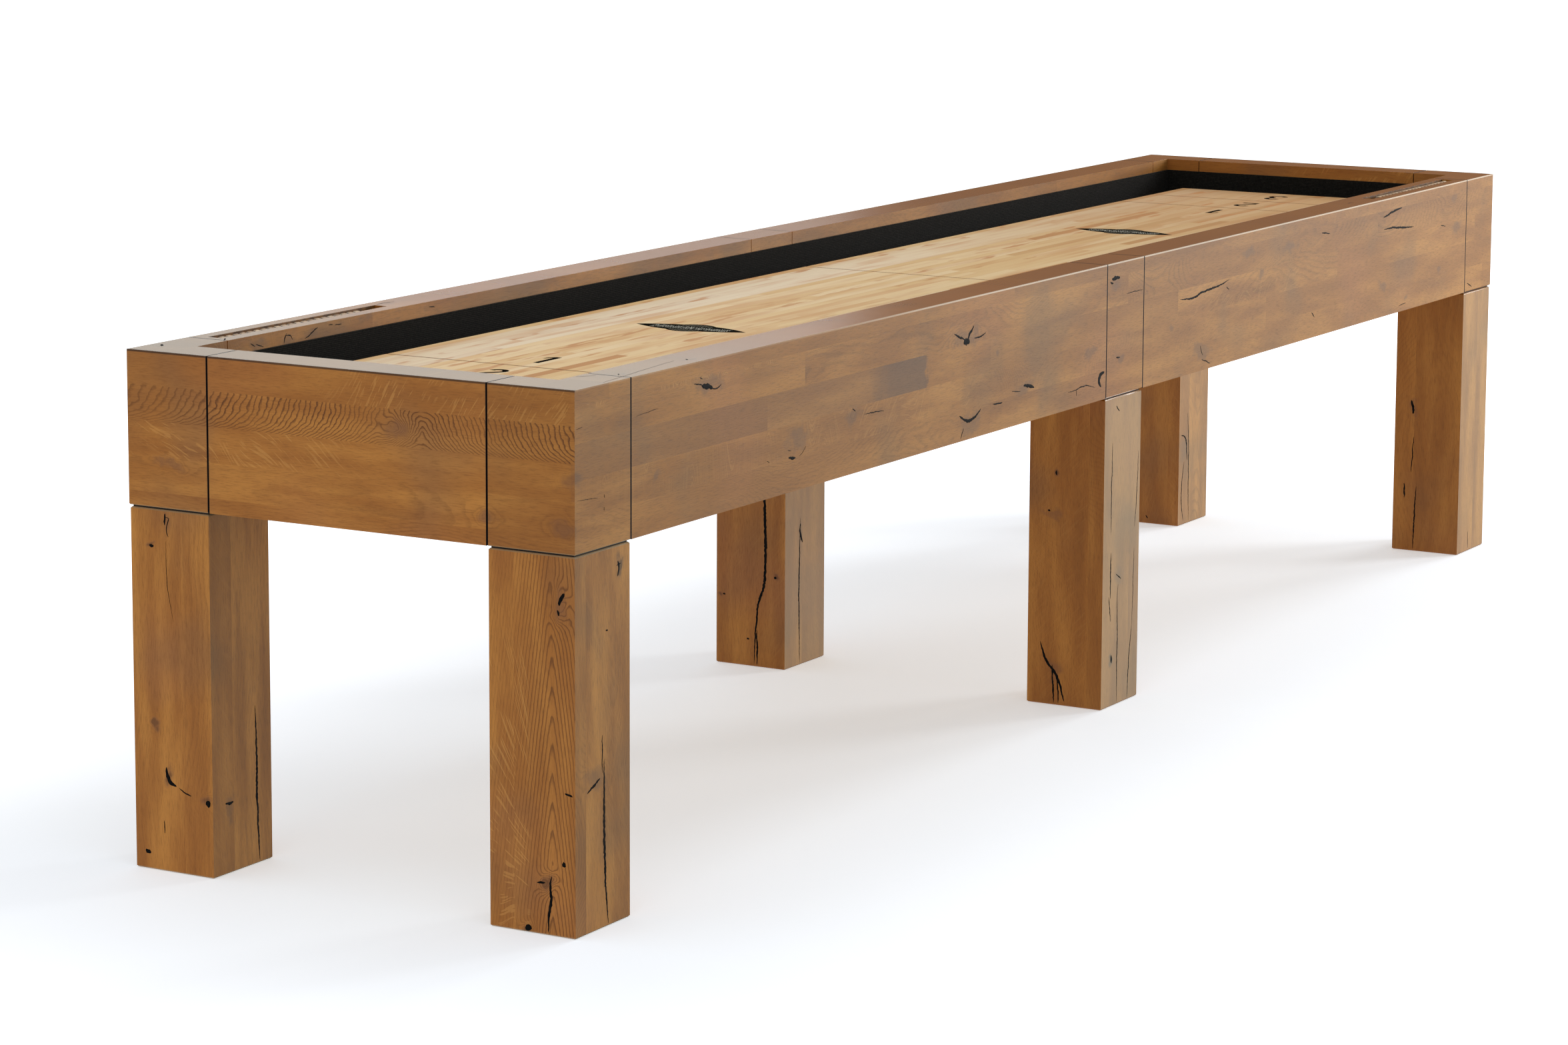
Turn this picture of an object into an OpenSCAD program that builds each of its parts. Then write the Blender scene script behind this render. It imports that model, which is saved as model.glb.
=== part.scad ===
// Shuffleboard table: an oak cabinet of rails and blocks on six square legs, with a laminated
// maple playfield in a carpeted well, climate adjusters, leg levelers and two sliding-bead scorers.
// Millimetres. X runs along the table, Y across it and Z up; the origin is on the floor, midway.

/* [Cabinet] */
// Length over the two end rails
table_len = 3657.6; // [3600:0.1:3750]
// Width over the two side rails
table_w = 812.8; // [805:0.1:830]
// Height from the floor to the rail tops
table_h = 812.8; // [790:0.1:860]
// Height of the rails and blocks
apron_h = 241.3; // [238:0.1:250]
// Thickness of the rails
rail_t = 76.2; // [72:0.1:78]
// Face length of the corner and middle blocks
block_w = 152.4; // [150:0.1:156]
// Gap left at each seam between a block and a rail
seam = 2; // [0.6:0.1:3]
// Chamfer round the bottom of the blocks
block_chamfer = 1.5; // [1:0.1:4]

/* [Legs] */
// Width of the square legs
leg_w = 149.4; // [148:0.1:150]
// Chamfer at the top and bottom of a leg
leg_chamfer = 2; // [1:0.1:4]
// Thickness of the dark plate between a leg and the cabinet
spacer_t = 3; // [2:0.5:5]
// How far that plate is set back from the leg's faces
spacer_inset = 3; // [2:0.5:8]

/* [Playfield] */
// Length of the playfield
field_len = 3352.8; // [3300:0.1:3360]
// Width of the playfield
field_w = 514; // [508:0.1:518]
// Thickness of the playfield
field_t = 76; // [60:1:76]
// Depth of the playing surface below the rail tops
field_drop = 54.1; // [50:0.1:60]
// Distance between a score line and the next, or the end
zone_len = 160; // [150:1:165]
// Width of the inlaid score lines
line_w = 4; // [2:0.5:5]
// Depth of every inlay in the playfield
inlay_t = 1.5; // [1:0.1:3]
// Height of the inlaid numerals
digit_h = 70; // [60:1:75]
// Width of a numeral's strokes
digit_stroke = 10.5; // [6:0.5:12]
// Length of the lens-shaped inlays across the field
lens_len = 215; // [180:1:240]
// Width of the lens-shaped inlays
lens_w = 66; // [40:1:70]
// Radius of the disc in the middle of each lens
lens_disc_r = 43.5; // [35:1:50]

/* [Well] */
// Depth of the carpet's top edge below the rail tops
carpet_drop = 24; // [20:0.5:30]
// Thickness of the carpet and the carpeted wall liners
carpet_t = 4; // [3:0.5:4]
// Thickness of the gutter boards
gutter_t = 12; // [9:1:15]
// Depth of the gutter's carpet below the playing surface
gutter_depth = 49; // [45:1:52]
// Gap between the playfield and the gutter boards
gutter_gap = 5; // [3:0.5:6]

/* [Scorers] */
// Beads on each scorer rod
bead_count = 21; // [11:1:21]
// Beads of each scorer in the loose group by the empty end
lead_beads = 5; // [1:1:10]
// Diameter of a bead
bead_d = 21; // [18:0.5:22]
// Distance from one bead to the next
bead_pitch = 17.9; // [16:0.1:17.9]
// Space between neighbouring beads
bead_gap = 0.3; // [0.2:0.1:1]
// Diameter of the scorer rods
scorer_rod_d = 6; // [5:0.5:8]
// Width of the slot in the rail
slot_w = 25; // [23:0.5:30]
// Depth of the slot in the rail
slot_depth = 23; // [22:0.5:30]
// Distance of the slot's outer end from the middle of the table
slot_outer = 1660; // [1650:1:1662]
// Length of the slot
slot_len = 446; // [440:1:480]

/* [Levelers] */
// Diameter of the leveler pads
pad_d = 58; // [50:1:60]
// Height of the leveler pads
pad_h = 14; // [10:1:16]
// Diameter of the leveler stems and leg bolts
thread_d = 12; // [10:1:12]
// Length of the leveler stems
stem_len = 96; // [80:1:110]

/* [Hidden] */
$fn = 48;
eps = 1;                                   // overrun of a cutting tool past a face
fit = 0.05;                                // radial clearance of a turning pin
half_len = table_len / 2;
half_w = table_w / 2;
apron_z = table_h - apron_h;               // underside of the cabinet
well_x = half_len - rail_t;                // inside faces of the end rails
well_y = half_w - rail_t;                  // inside faces of the side rails
rail_mid_y = half_w - rail_t / 2;
rail_mid_x = half_len - rail_t / 2;
leg_x = half_len - block_w / 2;            // centres of the corner legs
leg_y = half_w - block_w / 2;              // centres of all legs
leg_h = apron_z - spacer_t;
field_z = table_h - field_drop;            // playing surface
field_base = field_z - field_t;
gutter_z = field_z - gutter_depth;         // top of the gutter carpet
board_z = gutter_z - carpet_t - gutter_t;  // underside of the gutter boards
gutter_in = field_w / 2 + gutter_gap;
deck_t = 38;
deck_len = 150;
deck_top = apron_z + deck_t;
stringer_y = 150;
stringer_w = 45;
stringer_h = 38;
rib_z = deck_top + stringer_h;
rib_w = 50;
rib_half = 308;
rib_x = [-1640, -840, 0, 840, 1640];
cleat_w = 20;
side_fit = 0.3;                            // clearance of boards dropped into the well
corner_bolts = [[-20, -52], [-52, -20]];   // from a corner leg's centre, towards the inside
mid_bolts = [[-45, -37], [45, -37]];       // from a middle leg's centre
insert_d = 18;
insert_len = 40;
bolt_grip = 76;
bolt_hole_r = 6.5;
dowel_d = 16;
dowel_len = 80;
dowel_z = [apron_z + 55, apron_z + 185];
bracket_t = 5;
bracket_z = deck_top + 2.5;
bracket_h = 56;
adjuster_x = [-1240, -420, 420, 1240];
adjuster_z = field_base - 20;
lug_y = 200;
lug_t = 8;
field_screw_y = 80;
slot_inner = slot_outer - slot_len;
outer_play = 12;                           // free run beyond the last bead
rod_z = table_h - 11.5;
pocket_d = 64;
pocket_h = 24;
stem_z = 5;
nut_d = 17;
nut_h = 14;

// Mirrors a shape drawn for the +X +Y quarter into the quarter of the given signs.
module quarter(sx, sy) {
    mirror([sx < 0 ? 1 : 0, 0, 0]) mirror([0, sy < 0 ? 1 : 0, 0]) children();
}

module block_at(low, high) {
    translate(low) cube(high - low);
}

// Diamond prisms that cut a 45 degree chamfer along an edge.
module chamfer_x(len, c) {
    rotate([45, 0, 0]) cube([len, c * sqrt(2), c * sqrt(2)], center = true);
}

module chamfer_y(len, c) {
    rotate([0, 45, 0]) cube([c * sqrt(2), len, c * sqrt(2)], center = true);
}

// A square post from z = 0 with chamfered top and bottom edges.
function post_outline(w, h, c) =
    [[-w / 2, c], [-w / 2 + c, 0], [w / 2 - c, 0], [w / 2, c],
     [w / 2, h - c], [w / 2 - c, h], [-w / 2 + c, h], [-w / 2, h - c]];

module post(w, h, c) {
    intersection() {
        translate([0, w / 2, 0]) rotate([90, 0, 0]) linear_extrude(w) polygon(post_outline(w, h, c));
        rotate([0, 0, 90]) translate([0, w / 2, 0]) rotate([90, 0, 0])
            linear_extrude(w) polygon(post_outline(w, h, c));
    }
}

// Two dowels one above the other, crossing a seam at the given place.
module dowel_pair_x(x, y) {
    for (z = dowel_z) translate([x, y, z]) rotate([0, 90, 0])
        cylinder(d = dowel_d, h = dowel_len, center = true);
}

module dowel_pair_y(x, y) {
    for (z = dowel_z) translate([x, y, z]) rotate([90, 0, 0])
        cylinder(d = dowel_d, h = dowel_len, center = true);
}

// Every seam dowel of one quarter of the cabinet.
module quarter_dowels() {
    dowel_pair_x(half_len - block_w, rail_mid_y);
    dowel_pair_x(block_w / 2, rail_mid_y);
    dowel_pair_y(rail_mid_x, half_w - block_w);
}

module corner_block(sx, sy) {
    inner_x = half_len - block_w + seam / 2;
    inner_y = half_w - block_w + seam / 2;
    color("#8a5a2b") quarter(sx, sy) difference() {
        translate([0, 0, apron_z]) linear_extrude(apron_h)
            polygon([[inner_x, half_w], [half_len, half_w], [half_len, inner_y],
                     [well_x, inner_y], [well_x, well_y], [inner_x, well_y]]);
        translate([leg_x, half_w, apron_z]) chamfer_x(2 * block_w, block_chamfer);
        translate([half_len, leg_y, apron_z]) chamfer_y(2 * block_w, block_chamfer);
        quarter_dowels();
    }
}

// Slot, and the rod's hole beyond both its ends, in the +X end of the +Y rail.
module scorer_cut() {
    block_at([slot_inner, rail_mid_y - slot_w / 2, table_h - slot_depth],
             [slot_outer, rail_mid_y + slot_w / 2, table_h + eps]);
    scorer_rod();
}

module scorer_rod() {
    translate([slot_inner - 15, rail_mid_y, rod_z]) rotate([0, 90, 0])
        cylinder(d = scorer_rod_d, h = slot_len + 30 - 1);
}

module side_rail(sx, sy, scorer = false) {
    color("#a07d5a") quarter(sx, sy) difference() {
        block_at([block_w / 2 + seam / 2, well_y, apron_z],
                 [half_len - block_w - seam / 2, half_w, table_h]);
        quarter_dowels();
        if (scorer) scorer_cut();
    }
}

module mid_block(sy) {
    color("#8a5a2b") quarter(1, sy) difference() {
        block_at([-block_w / 2 + seam / 2, well_y, apron_z],
                 [block_w / 2 - seam / 2, half_w, table_h]);
        translate([0, half_w, apron_z]) chamfer_x(2 * block_w, block_chamfer);
        for (s = [1, -1]) quarter(s, 1) quarter_dowels();
    }
}

module end_rail(sx) {
    end_y = half_w - block_w - seam / 2;
    color("#9a6a35") quarter(sx, 1) difference() {
        block_at([well_x, -end_y, apron_z], [half_len, end_y, table_h]);
        for (s = [1, -1]) quarter(1, s) quarter_dowels();
    }
}

// A leg, drawn about its own centre; bolts holds its bolt places.
module leg_solid(bolts) {
    difference() {
        post(leg_w, leg_h, leg_chamfer);
        translate([0, 0, -eps]) cylinder(d = pocket_d, h = pocket_h + eps);
        translate([0, 0, pocket_h - eps]) cylinder(d = nut_d, h = nut_h + eps);
        translate([0, 0, pocket_h]) cylinder(r = bolt_hole_r, h = stem_len);
        for (b = bolts) {
            translate([b.x, b.y, leg_h - insert_len]) cylinder(d = insert_d, h = insert_len + eps);
            translate([b.x, b.y, leg_h - insert_len - 20]) cylinder(r = bolt_hole_r, h = 21);
        }
    }
}

module leg(sx, sy) {
    color("#8f5f2c") quarter(sx == 0 ? 1 : sx, sy) translate([sx == 0 ? 0 : leg_x, leg_y, 0])
        leg_solid(sx == 0 ? mid_bolts : corner_bolts);
}

// Repeats a shape at every leg bolt of the table, with z = 0 at the leg's top.
module at_leg_bolts() {
    for (sx = [-1, 0, 1], sy = [-1, 1], b = sx == 0 ? mid_bolts : corner_bolts)
        quarter(sx == 0 ? 1 : sx, sy)
            translate([(sx == 0 ? 0 : leg_x) + b.x, leg_y + b.y, leg_h]) children();
}

module at_legs() {
    for (sx = [-1, 0, 1], sy = [-1, 1]) translate([sx * leg_x, sy * leg_y, 0]) children();
}

module leg_spacers() {
    spacer_w = leg_w - 2 * spacer_inset;
    color("#1c1713") difference() {
        at_legs() translate([0, 0, leg_h + spacer_t / 2]) cube([spacer_w, spacer_w, spacer_t], center = true);
        at_leg_bolts() translate([0, 0, -eps]) cylinder(r = bolt_hole_r, h = spacer_t + 2 * eps);
    }
}

// Flat numerals, reader's right along +X and up along +Y, with their feet on y = 0.
function wedge(c, a0, a1) =
    concat([c], [for (i = [0:5]) c + 60 * [cos(a0 + (a1 - a0) * i / 5), sin(a0 + (a1 - a0) * i / 5)]]);

module arc_stroke(c, r, a0, a1) {
    intersection() {
        translate(c) difference() {
            circle(r);
            circle(r - digit_stroke);
        }
        polygon(wedge(c, a0, a1));
    }
}

module digit_one() {
    s = digit_stroke;
    polygon([[-s / 2 + 2, 0], [s / 2 + 2, 0], [s / 2 + 2, digit_h], [-s / 2 + 2, digit_h],
             [-15, digit_h - 12], [-15, digit_h - 12 - 1.2 * s], [-s / 2 + 2, digit_h - 1.1 * s]]);
}

module digit_two() {
    r = 18;
    c = [0, digit_h - r];
    tip = -42;
    dir = [sin(tip), -cos(tip)];
    inner = c + (r - digit_stroke) * [cos(tip), sin(tip)];
    outer = c + r * [cos(tip), sin(tip)];
    arc_stroke(c, r, tip, 170);
    intersection() {
        polygon([inner, outer, outer + 60 * dir, inner + 60 * dir]);
        translate([-r, 0]) square([2 * r, digit_h]);
    }
    translate([-r, 0]) square([2 * r, digit_stroke]);
}

module digit_three() {
    r_top = 18;
    r_base = 20.5;
    arc_stroke([0, digit_h - r_top], r_top, -90, 165);
    arc_stroke([0, r_base], r_base, -165, 90);
}

// All six numerals as flat outlines; each set reads from its own end of the table.
module numeral_outlines() {
    one_x = 1280;
    for (side = [0, 180]) rotate(side) {
        translate([-one_x - digit_h / 2, 0]) rotate(-90) digit_one();
        translate([-field_len / 2 + 1.5 * zone_len - digit_h / 2, 0]) rotate(-90) digit_two();
        translate([-field_len / 2 + 0.5 * zone_len - digit_h / 2, 0]) rotate(-90) digit_three();
    }
}

module line_outlines() {
    reach = field_len / 2;
    for (x = [-reach + zone_len, -reach + 2 * zone_len, 0, reach - 2 * zone_len, reach - zone_len])
        translate([x - line_w / 2, -field_w / 2]) square([line_w, field_w]);
}

// A pointed lens across the field with a disc at its middle, a quarter of the way from each end.
module lens_outlines() {
    bow_r = (pow(lens_len / 2, 2) + pow(lens_w / 2, 2)) / lens_w;
    for (x = [-field_len / 4, field_len / 4]) translate([x, 0]) {
        intersection() {
            translate([bow_r - lens_w / 2, 0]) circle(bow_r, $fn = 180);
            translate([lens_w / 2 - bow_r, 0]) circle(bow_r, $fn = 180);
        }
        circle(lens_disc_r);
    }
}

module inlay_layer(h) {
    translate([0, 0, field_z - inlay_t]) linear_extrude(h) children();
}

module playfield() {
    color("#dcb98a") difference() {
        block_at([-field_len / 2, -field_w / 2, field_base], [field_len / 2, field_w / 2, field_z]);
        for (s = [-1, 1]) {
            translate([0, s * field_w / 2, field_z]) chamfer_x(field_len + 2, 1.2);
            translate([s * field_len / 2, 0, field_z]) chamfer_y(field_w + 2, 1.2);
        }
        inlay_layer(inlay_t + eps) line_outlines();
        inlay_layer(inlay_t + eps) numeral_outlines();
        inlay_layer(inlay_t + eps) lens_outlines();
        at_field_screws() cylinder(d = 8, h = 64);
        at_adjuster_screws() cylinder(d = 5, h = 30);
    }
}

module score_lines() {
    color("#8a5a24") intersection() {
        inlay_layer(inlay_t) line_outlines();
        block_at([-field_len / 2, -field_w / 2 + 1.2, field_base], [field_len / 2, field_w / 2 - 1.2, field_z]);
    }
}

module numerals() {
    color("#14110d") inlay_layer(inlay_t) numeral_outlines();
}

module lens_inlays() {
    color("#23241f") inlay_layer(inlay_t) lens_outlines();
}

// Carpeted liners on the inside faces of the rails, from the gutter boards up.
module side_liners() {
    color("#1b1b1a") for (s = [1, -1]) quarter(1, s)
        block_at([-well_x + side_fit, well_y - carpet_t, board_z],
                 [well_x - side_fit, well_y, table_h - carpet_drop]);
}

module end_liners() {
    reach = well_y - carpet_t - side_fit;
    color("#1b1b1a") for (s = [1, -1]) quarter(s, 1)
        block_at([well_x - carpet_t, -reach, board_z], [well_x, reach, table_h - carpet_drop]);
}

// Four strips round the playfield, from the given height.
module gutter_ring(z, h) {
    out_x = well_x - carpet_t - side_fit;
    out_y = well_y - carpet_t - side_fit;
    in_x = field_len / 2 + gutter_gap;
    for (s = [1, -1]) {
        quarter(1, s) block_at([-out_x, gutter_in, z], [out_x, out_y, z + h]);
        quarter(s, 1) block_at([in_x, -gutter_in + side_fit, z], [out_x, gutter_in - side_fit, z + h]);
    }
}

module gutter_boards() {
    color("#b5936a") gutter_ring(board_z, gutter_t);
}

module gutter_carpet() {
    color("#1b1b1a") gutter_ring(board_z + gutter_t, carpet_t);
}

module gutter_cleats() {
    low_z = board_z - cleat_w;
    color("#a5835c") for (s = [1, -1]) {
        quarter(1, s) block_at([-well_x + side_fit, well_y - cleat_w, low_z],
                               [well_x - side_fit, well_y, board_z]);
        quarter(s, 1) block_at([well_x - cleat_w, -well_y + cleat_w + side_fit, low_z],
                               [well_x, well_y - cleat_w - side_fit, board_z]);
    }
}

// Boards across the cabinet's underside that the legs are bolted to.
module leg_decks() {
    color("#a5835c") difference() {
        for (x0 = [-well_x + side_fit, -deck_len / 2, well_x - side_fit - deck_len])
            block_at([x0, -well_y + side_fit, apron_z], [x0 + deck_len, well_y - side_fit, deck_top]);
        at_leg_bolts() cylinder(r = bolt_hole_r, h = deck_t + 2 * spacer_t);
    }
}

module cradle_stringers() {
    reach = well_x - 12;
    color("#b5936a") for (s = [1, -1]) quarter(1, s)
        block_at([-reach, stringer_y - stringer_w / 2, deck_top],
                 [reach, stringer_y + stringer_w / 2, rib_z]);
}

// Ribs across the stringers: the middle carries the playfield, the ears carry the gutter boards.
module cradle_ribs() {
    color("#b5936a") difference() {
        for (x = rib_x) translate([x - rib_w / 2, 0, 0]) rotate([90, 0, 90]) linear_extrude(rib_w)
            polygon([[-rib_half, rib_z], [rib_half, rib_z], [rib_half, board_z], [gutter_in, board_z],
                     [gutter_in, field_base], [-gutter_in, field_base], [-gutter_in, board_z],
                     [-rib_half, board_z]]);
        at_field_screws() {
            for (dy = [-6, 6]) translate([0, dy, -eps]) cylinder(d = 9, h = 60);
            translate([-4.5, -6, -eps]) cube([9, 12, 60]);
        }
    }
}

module at_field_screws() {
    for (x = rib_x, s = [-1, 1]) translate([x, s * field_screw_y, rib_z]) children();
}

module playfield_screws() {
    color("silver") at_field_screws() {
        translate([0, 0, -2]) cylinder(d = 24, h = 2);
        translate([0, 0, -7.5]) cylinder(d = 15, h = 5.5, $fn = 6);
        cylinder(d = 8, h = 62);
    }
}

module leg_bolts() {
    color("silver") at_leg_bolts() translate([0, 0, spacer_t + deck_t]) {
        translate([0, 0, -bolt_grip]) cylinder(d = thread_d, h = bolt_grip);
        cylinder(d = 26, h = 2.5);
        translate([0, 0, 2.5]) cylinder(d = 20.8, h = 9, $fn = 6);
    }
}

module leg_inserts() {
    color("goldenrod") at_leg_bolts() translate([0, 0, -insert_len]) difference() {
        cylinder(d = insert_d, h = insert_len);
        translate([0, 0, -eps]) cylinder(d = thread_d, h = insert_len + 2 * eps);
    }
}

module rail_dowels() {
    color("burlywood") for (sx = [-1, 1], sy = [-1, 1]) quarter(sx, sy) quarter_dowels();
}

// Steel angles in the four inside corners and a plate behind each middle block.
module frame_brackets() {
    arm = 90;
    plate_half = 150;
    color("dimgray") {
        for (sx = [-1, 1], sy = [-1, 1]) quarter(sx, sy)
            translate([0, 0, bracket_z]) linear_extrude(bracket_h)
                polygon([[well_x, well_y], [well_x - arm, well_y], [well_x - arm, well_y - bracket_t],
                         [well_x - bracket_t, well_y - bracket_t], [well_x - bracket_t, well_y - arm],
                         [well_x, well_y - arm]]);
        for (s = [1, -1]) quarter(1, s)
            block_at([-plate_half, well_y - bracket_t, bracket_z],
                     [plate_half, well_y, bracket_z + bracket_h]);
    }
}

// Pairs of lugs under the playfield that the adjuster rods screw into.
module adjuster_lugs() {
    color("#3a3a3c") for (x = adjuster_x, s = [1, -1]) quarter(1, s) translate([x, lug_y, 0])
        difference() {
            union() {
                block_at([-32, -28, field_base - 5], [32, 28, field_base]);
                block_at([-18, -lug_t / 2, adjuster_z], [18, lug_t / 2, field_base - 4]);
                translate([0, 0, adjuster_z]) rotate([90, 0, 0]) cylinder(r = 18, h = lug_t, center = true);
            }
            translate([0, 0, adjuster_z]) rotate([90, 0, 0])
                cylinder(r = thread_d / 2 + fit, h = lug_t + 2, center = true);
            for (sx = [-1, 1]) translate([sx * 24, 0, field_base - 5 - eps]) cylinder(d = 5.5, h = 8);
        }
}

module at_adjuster_screws() {
    for (x = adjuster_x, s = [-1, 1], sx = [-1, 1])
        translate([x + sx * 24, s * lug_y, field_base]) children();
}

module adjuster_screws() {
    color("silver") at_adjuster_screws() {
        translate([0, 0, -5]) cylinder(d = 5, h = 33);
        translate([0, 0, -8]) cylinder(d = 10, h = 3);
    }
}

// A rod threaded left-handed at one end and right-handed at the other, turned by its middle hexagon.
module adjuster_rod(i) {
    reach = lug_y + 14;
    color("silver") translate([adjuster_x[i], 0, adjuster_z]) rotate([90, 0, 0]) {
        cylinder(d = thread_d, h = 2 * reach, center = true);
        cylinder(r = 12.7, h = 60, center = true, $fn = 6);
    }
}

module scorer_rods() {
    color("silver") {
        quarter(-1, 1) scorer_rod();
        quarter(1, -1) scorer_rod();
    }
}

// A barrel bead about the rod's axis, standing on z = 0.
module bead() {
    len = bead_pitch - bead_gap;
    r = bead_d / 2;
    bore = scorer_rod_d / 2 + fit;
    rotate_extrude() polygon([[bore, 0], [r - 3, 0], [r - 1, 2], [r, 6], [r, len - 6],
                              [r - 1, len - 2], [r - 3, len], [bore, len]]);
}

// Beads first to last, counted from the slot's outer end, on the +X +Y rail.
module beads(first, last) {
    for (i = [first:last])
        translate([slot_outer - outer_play - (i + 1) * bead_pitch + bead_gap, rail_mid_y, rod_z])
            rotate([0, 90, 0]) bead();
}

module scorer_beads(sx, sy, lead) {
    row = bead_count - lead_beads;
    color("#a8794a") quarter(sx, sy) if (lead) beads(row, bead_count - 1); else beads(0, row - 1);
}

// Tee nuts that the leveler stems screw through.
module leveler_nuts() {
    color("silver") at_legs() translate([0, 0, pocket_h]) difference() {
        union() {
            cylinder(d = nut_d, h = nut_h);
            translate([0, 0, -2]) cylinder(d = 34, h = 2);
        }
        translate([0, 0, -2 - eps]) cylinder(r = thread_d / 2 + fit, h = nut_h + 2 + 2 * eps);
    }
}

module leveler_pad(sx, sy) {
    r = pad_d / 2;
    color("#222222") translate([sx * leg_x, sy * leg_y, 0]) rotate_extrude()
        polygon([[0, 0], [r - 1, 0], [r, 1], [r, 5], [r - 2, 7], [12, pad_h - 2], [10, pad_h],
                 [thread_d / 2 + fit, pad_h], [thread_d / 2 + fit, stem_z], [0, stem_z]]);
}

module leveler_stem(sx, sy) {
    color("silver") translate([sx * leg_x, sy * leg_y, 0]) {
        translate([0, 0, stem_z + fit]) cylinder(d = thread_d, h = stem_len);
        translate([0, 0, pad_h + 0.4]) cylinder(d = 20.8, h = 5, $fn = 6);
    }
}

corner_block(-1, -1);  // corner_block_fl
corner_block(1, -1);  // corner_block_fr
corner_block(-1, 1);  // corner_block_bl
corner_block(1, 1);  // corner_block_br
side_rail(-1, -1);  // side_rail_fl
side_rail(1, -1, scorer = true);  // side_rail_fr
side_rail(-1, 1, scorer = true);  // side_rail_bl
side_rail(1, 1);  // side_rail_br
mid_block(-1);  // mid_block_front
mid_block(1);  // mid_block_back
end_rail(-1);  // end_rail_left
end_rail(1);  // end_rail_right
leg(-1, -1);  // leg_fl
leg(0, -1);  // leg_fm
leg(1, -1);  // leg_fr
leg(-1, 1);  // leg_bl
leg(0, 1);  // leg_bm
leg(1, 1);  // leg_br
leg_spacers();
playfield();
score_lines();
numerals();
lens_inlays();
side_liners();
end_liners();
gutter_boards();
gutter_carpet();
gutter_cleats();
leg_decks();
cradle_stringers();
cradle_ribs();
leg_bolts();
leg_inserts();
rail_dowels();
frame_brackets();
playfield_screws();
adjuster_lugs();
adjuster_screws();
adjuster_rod(0);  // adjuster_rod_1
adjuster_rod(1);  // adjuster_rod_2
adjuster_rod(2);  // adjuster_rod_3
adjuster_rod(3);  // adjuster_rod_4
scorer_rods();
scorer_beads(-1, 1, lead = true);  // scorer_back_lead
scorer_beads(-1, 1, lead = false);  // scorer_back_row
scorer_beads(1, -1, lead = true);  // scorer_front_lead
scorer_beads(1, -1, lead = false);  // scorer_front_row
leveler_nuts();
leveler_pad(-1, -1);  // leveler_pad_fl
leveler_pad(0, -1);  // leveler_pad_fm
leveler_pad(1, -1);  // leveler_pad_fr
leveler_pad(-1, 1);  // leveler_pad_bl
leveler_pad(0, 1);  // leveler_pad_bm
leveler_pad(1, 1);  // leveler_pad_br
leveler_stem(-1, -1);  // leveler_stem_fl
leveler_stem(0, -1);  // leveler_stem_fm
leveler_stem(1, -1);  // leveler_stem_fr
leveler_stem(-1, 1);  // leveler_stem_bl
leveler_stem(0, 1);  // leveler_stem_bm
leveler_stem(1, 1);  // leveler_stem_br
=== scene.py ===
import math
import random

import bmesh
import bpy
from mathutils import Matrix, Vector


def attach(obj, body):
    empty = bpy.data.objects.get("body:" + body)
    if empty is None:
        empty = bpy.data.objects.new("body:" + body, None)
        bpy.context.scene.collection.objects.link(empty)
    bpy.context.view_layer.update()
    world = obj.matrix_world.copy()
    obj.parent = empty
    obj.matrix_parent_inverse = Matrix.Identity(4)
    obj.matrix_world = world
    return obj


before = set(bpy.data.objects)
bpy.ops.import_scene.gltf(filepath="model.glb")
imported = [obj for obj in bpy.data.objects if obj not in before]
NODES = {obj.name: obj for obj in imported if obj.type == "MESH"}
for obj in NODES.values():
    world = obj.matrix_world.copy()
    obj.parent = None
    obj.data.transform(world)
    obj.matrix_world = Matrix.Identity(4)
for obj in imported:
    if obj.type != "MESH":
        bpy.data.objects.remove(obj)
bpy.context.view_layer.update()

MM = 0.001
WHITE = (1, 1, 1, 1)

# The cabinet in metres: its outer faces, its seams, the scorer slots and the legs' middles
HALF_LENGTH, HALF_WIDTH, TOP = 1.8288, 0.4064, 0.8128
BLOCK_SEAM, MIDDLE_SEAM = 1.6764, 0.0762         # along X, at the ends of the side rails
CROSS_SEAM = 0.254                               # along Y, at the ends of the end rails
SCORER_Y, SCORER_HALF = 0.3683, 0.0134
LEG_PITCH, LEG_Y = 1.7526, 0.3302

CAMERA_PLACE = (-6.995, -3.736, 1.747)
CAMERA_TURN = (30.001, 8.311, 0.252)             # yaw, pitch down and roll, in degrees
SENSOR, LENS, SHIFT = 36, 99.40, -0.10

# Each light: its place, what it looks at, its size and its watts
LIGHTS = {
    "key": ((5.2, -3.4, 1.7), (0.9, 0, 0.5), (1.5, 1.5), 130),
    "edge": ((6.0, -1.2, 3.4), (0.6, -0.4, 0.8), (1.4, 2.4), 80),
    "sheen": ((5.6, 5.2, 2.45), (-1.75, 0, 0.8), (3.4, 0.9), 17),
    "overhead": ((-2.4, -0.4, 3.6), (-1.4, -0.1, 0.8), (2.4, 2.0), 18),
}


def add_object(name, data):
    item = bpy.data.objects.new(name, data)
    bpy.context.scene.collection.objects.link(item)
    return item


def add_camera():
    """A long lens near the left end's front corner, at the photograph's height and angle."""
    yaw, pitch, roll = (math.radians(a) for a in CAMERA_TURN)
    forward = Vector((math.cos(yaw) * math.cos(pitch), math.sin(yaw) * math.cos(pitch), -math.sin(pitch)))
    right = Vector((math.sin(yaw), -math.cos(yaw), 0))
    up = right.cross(forward)
    across = math.cos(roll) * right + math.sin(roll) * up
    over = math.cos(roll) * up - math.sin(roll) * right
    data = bpy.data.cameras.new("camera")
    data.sensor_width, data.lens, data.shift_y = SENSOR, LENS, SHIFT
    data.clip_start, data.clip_end = 0.1, 200
    cam = add_object("camera", data)
    turn = Matrix((across, over, -forward)).transposed().to_4x4()
    cam.matrix_world = Matrix.Translation(CAMERA_PLACE) @ turn
    bpy.context.scene.camera = cam


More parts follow.
